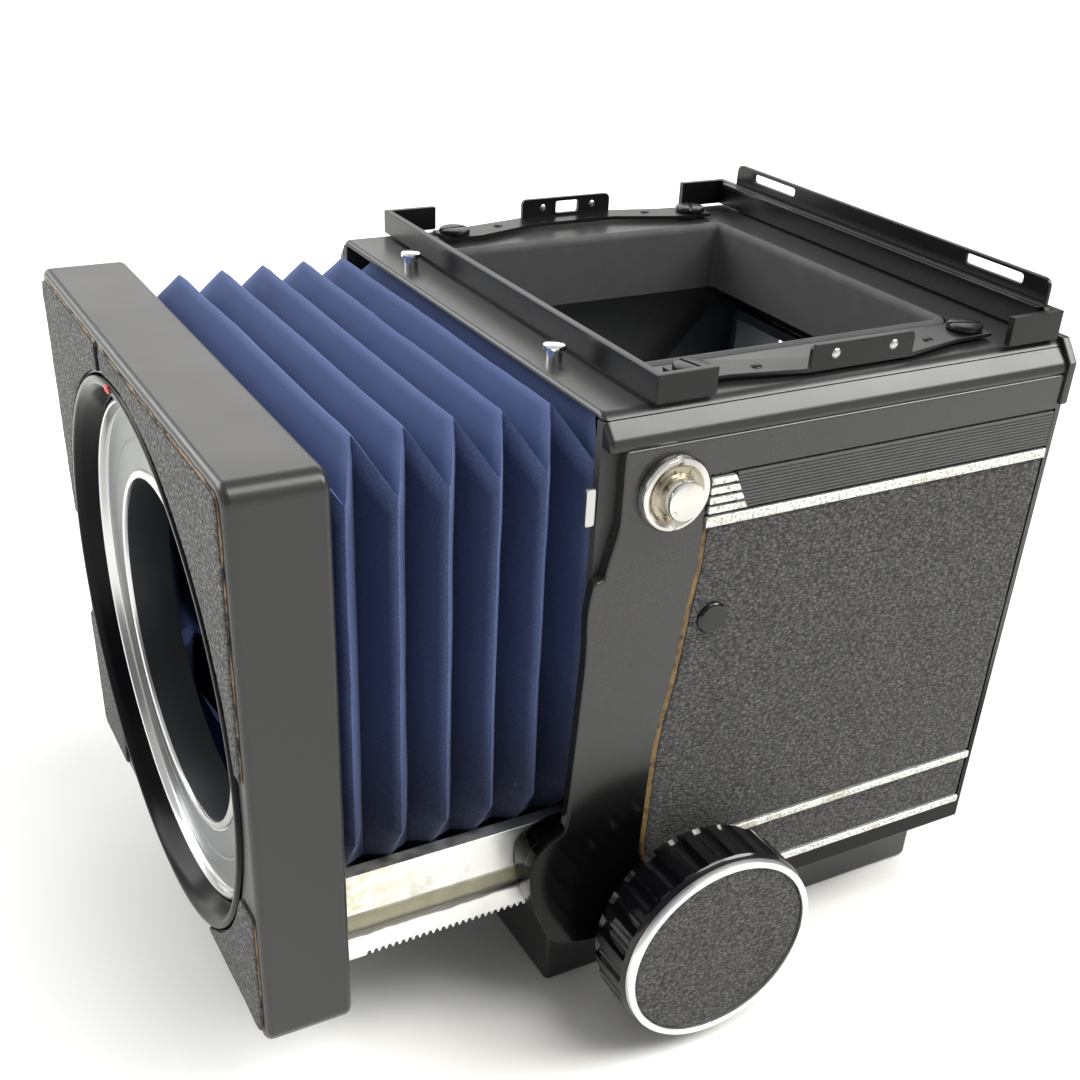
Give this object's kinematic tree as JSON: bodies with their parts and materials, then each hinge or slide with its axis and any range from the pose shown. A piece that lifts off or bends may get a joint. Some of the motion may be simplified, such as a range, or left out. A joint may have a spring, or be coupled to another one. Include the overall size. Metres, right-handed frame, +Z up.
{
  "type": "bellows-focusing reflex view camera body",
  "caption": "Boxy black reflex camera body with a cloth bellows, a rail-mounted front standard, focusing knobs, a tilting mirror and an open finder well.",
  "frame": {"origin": "on the flat underside of the tripod base, straight below the focusing shaft, in the lens axis' vertical plane", "axes": "-Y along the lens axis towards the subject, +Z up, +X towards the viewer's left"},
  "size_m": [0.136, 0.1514, 0.1265],
  "materials": {
    "enamel": "semi-gloss black enamel, slightly worn",
    "matt_black": "matt black, light-absorbing",
    "leatherette": "dark grey pebbled leatherette",
    "bellows_cloth": "navy cloth bellows",
    "satin_steel": "satin",
    "chrome": "bright plate",
    "silver_trim": "worn silver strip",
    "gloss_black": "glossy black",
    "brass": "plain brass",
    "mirror": "front-silvered mirror",
    "red_enamel": "red paint"
  },
  "bodies": {
    "camera_body": {"body_casting": "enamel", "top_cover": "enamel", "side_cover_left": "enamel", "side_cover_right": "enamel", "rear_plate": "matt_black", "bottom_plate": "enamel", "base_block": "enamel", "tripod_bush": "brass", "side_leatherette_left": "leatherette", "side_leatherette_right": "leatherette", "name_plate_left": "matt_black", "name_plate_right": "matt_black", "trim_upper_left": "silver_trim", "trim_upper_right": "silver_trim", "trim_lower_a_left": "silver_trim", "trim_lower_a_right": "silver_trim", "trim_lower_b_left": "silver_trim", "trim_lower_b_right": "silver_trim", "strap_lug_left": "chrome", "strap_lug_right": "chrome", "side_plug_left": "gloss_black", "finder_front_wall": "enamel", "finder_rear_wall": "enamel", "finder_retainer": "enamel", "latch_screw_front_left": "satin_steel", "latch_screw_front_right": "satin_steel", "latch_screw_rear_left": "satin_steel", "latch_screw_rear_right": "satin_steel", "finder_pin_left": "chrome", "finder_pin_right": "chrome", "screen_well": "matt_black", "bellows": "bellows_cloth", "release_housing": "enamel"},
    "front_standard": {"front_frame": "enamel", "mount_collar": "gloss_black", "bayonet_ring": "satin_steel", "alignment_dot": "red_enamel", "front_leatherette_left_upper": "leatherette", "front_leatherette_left_lower": "leatherette", "front_leatherette_right_upper": "leatherette", "front_leatherette_right_lower": "leatherette", "rail_left": "satin_steel", "rail_right": "satin_steel"},
    "focus_drive": {"focus_pinion_shaft": "satin_steel", "knob_left": "gloss_black", "knob_right": "gloss_black", "knob_ring_left": "chrome", "knob_ring_right": "chrome", "knob_disc_left": "leatherette", "knob_disc_right": "leatherette"},
    "mirror": {"mirror_frame": "matt_black", "mirror_glass": "mirror"},
    "shield": {"light_shield": "matt_black"},
    "cocking_arm": {"cocking_lever": "enamel"},
    "focus_lock": {"focus_lock_lever": "satin_steel"},
    "shutter_release": {"release_button": "chrome"},
    "finder_latch_left": {"latch_left": "enamel"},
    "finder_latch_right": {"latch_right": "enamel"},
    "back_interlock": {"rear_interlock_pin": "satin_steel"}
  },
  "joints": [
    {"name": "focus_slide", "type": "slide", "parent": "camera_body", "child": "front_standard", "axis": [0, 1, 0], "range_m": [-0.0145, 0.0315], "deforming": ["bellows"]},
    {"name": "focus_knob", "type": "hinge", "parent": "camera_body", "child": "focus_drive", "pos_m": [0, 0, 0.0224], "axis": [1, 0, 0], "range_deg": [-565, 260.5]},
    {"name": "mirror_flip", "type": "hinge", "parent": "camera_body", "child": "mirror", "pos_m": [0, 0.064, 0.1015], "axis": [-1, 0, 0], "range_deg": [0, 45]},
    {"name": "shield_flip", "type": "hinge", "parent": "camera_body", "child": "shield", "pos_m": [0, 0.0658, 0.0974], "axis": [-1, 0, 0], "range_deg": [0, 90]},
    {"name": "cocking", "type": "hinge", "parent": "camera_body", "child": "cocking_arm", "pos_m": [-0.054, 0.0395, 0.072], "axis": [1, 0, 0], "range_deg": [0, 75], "stiffness_Nm_per_rad": 0.02},
    {"name": "focus_lock_turn", "type": "hinge", "parent": "camera_body", "child": "focus_lock", "pos_m": [-0.054, 0, 0.0224], "axis": [1, 0, 0], "range_deg": [-20, 20]},
    {"name": "release_press", "type": "slide", "parent": "camera_body", "child": "shutter_release", "axis": [0, 1, 0], "range_m": [0, 0.0025], "stiffness_N_per_m": 300},
    {"name": "latch_left_slide", "type": "slide", "parent": "camera_body", "child": "finder_latch_left", "axis": [-1, 0, 0], "range_m": [0, 0.0012], "stiffness_N_per_m": 500},
    {"name": "latch_right_slide", "type": "slide", "parent": "camera_body", "child": "finder_latch_right", "axis": [1, 0, 0], "range_m": [0, 0.0012], "stiffness_N_per_m": 500},
    {"name": "interlock_press", "type": "slide", "parent": "camera_body", "child": "back_interlock", "axis": [0, -1, 0], "range_m": [0, 0.002], "stiffness_N_per_m": 300}
  ],
  "couplings": [
    {"joint": "focus_knob", "follows": "focus_slide", "rad_per_m": -312.5},
    {"joint": "shield_flip", "follows": "mirror_flip", "ratio": 2}
  ]
}
